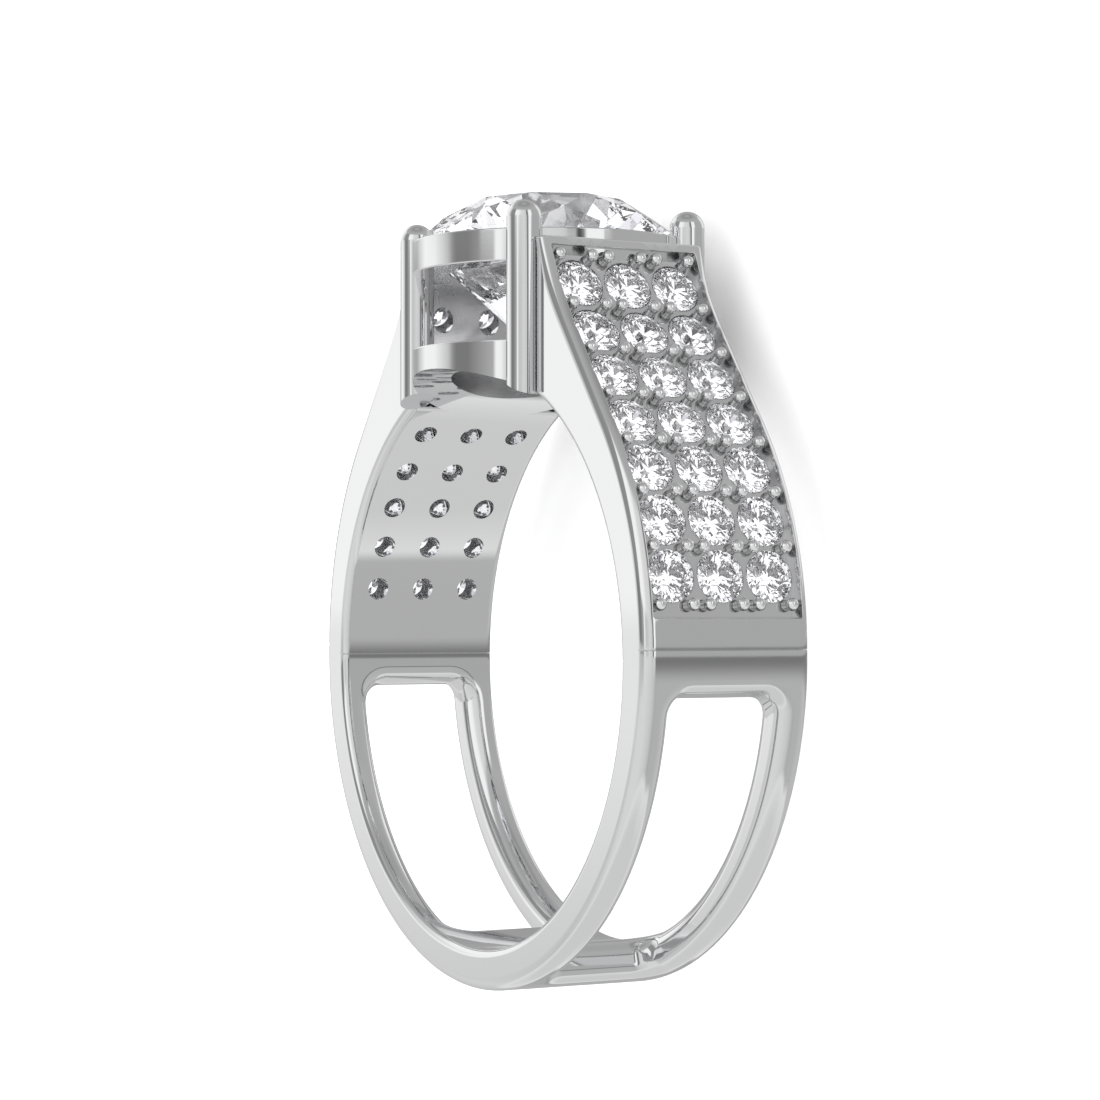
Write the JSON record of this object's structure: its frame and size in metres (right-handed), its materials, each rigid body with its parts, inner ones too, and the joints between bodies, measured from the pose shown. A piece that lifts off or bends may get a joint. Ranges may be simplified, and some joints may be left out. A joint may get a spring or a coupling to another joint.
{
  "type": "solitaire ring with pave shoulders",
  "caption": "Polished white gold ring with a round 8 mm centre stone in a four-prong basket, pave-set shoulders and a windowed shank.",
  "frame": {"origin": "centre of the finger hole, halfway across the band's width", "axes": "+Z along the finger hole, +Y towards the centre stone, +X to the right shoulder; the ring lies on its side"},
  "size_m": [0.02, 0.0238, 0.0084],
  "materials": {
    "white_gold": "mirror polish",
    "centre_gem": "clear cut stone",
    "side_gem": "clear cut stone"
  },
  "bodies": {
    "root": {"ring_mount": "white_gold", "centre_stone": "centre_gem", "side_stone_right_1a": "side_gem", "side_stone_right_1b": "side_gem", "side_stone_right_1c": "side_gem", "side_stone_right_2a": "side_gem", "side_stone_right_2b": "side_gem", "side_stone_right_2c": "side_gem", "side_stone_right_3a": "side_gem", "side_stone_right_3b": "side_gem", "side_stone_right_3c": "side_gem", "side_stone_right_4a": "side_gem", "side_stone_right_4b": "side_gem", "side_stone_right_4c": "side_gem", "side_stone_right_5a": "side_gem", "side_stone_right_5b": "side_gem", "side_stone_right_5c": "side_gem", "side_stone_right_6a": "side_gem", "side_stone_right_6b": "side_gem", "side_stone_right_6c": "side_gem", "side_stone_right_7a": "side_gem", "side_stone_right_7b": "side_gem", "side_stone_right_7c": "side_gem", "side_stone_left_1a": "side_gem", "side_stone_left_1b": "side_gem", "side_stone_left_1c": "side_gem", "side_stone_left_2a": "side_gem", "side_stone_left_2b": "side_gem", "side_stone_left_2c": "side_gem", "side_stone_left_3a": "side_gem", "side_stone_left_3b": "side_gem", "side_stone_left_3c": "side_gem", "side_stone_left_4a": "side_gem", "side_stone_left_4b": "side_gem", "side_stone_left_4c": "side_gem", "side_stone_left_5a": "side_gem", "side_stone_left_5b": "side_gem", "side_stone_left_5c": "side_gem", "side_stone_left_6a": "side_gem", "side_stone_left_6b": "side_gem", "side_stone_left_6c": "side_gem", "side_stone_left_7a": "side_gem", "side_stone_left_7b": "side_gem", "side_stone_left_7c": "side_gem"}
  },
  "joints": []
}
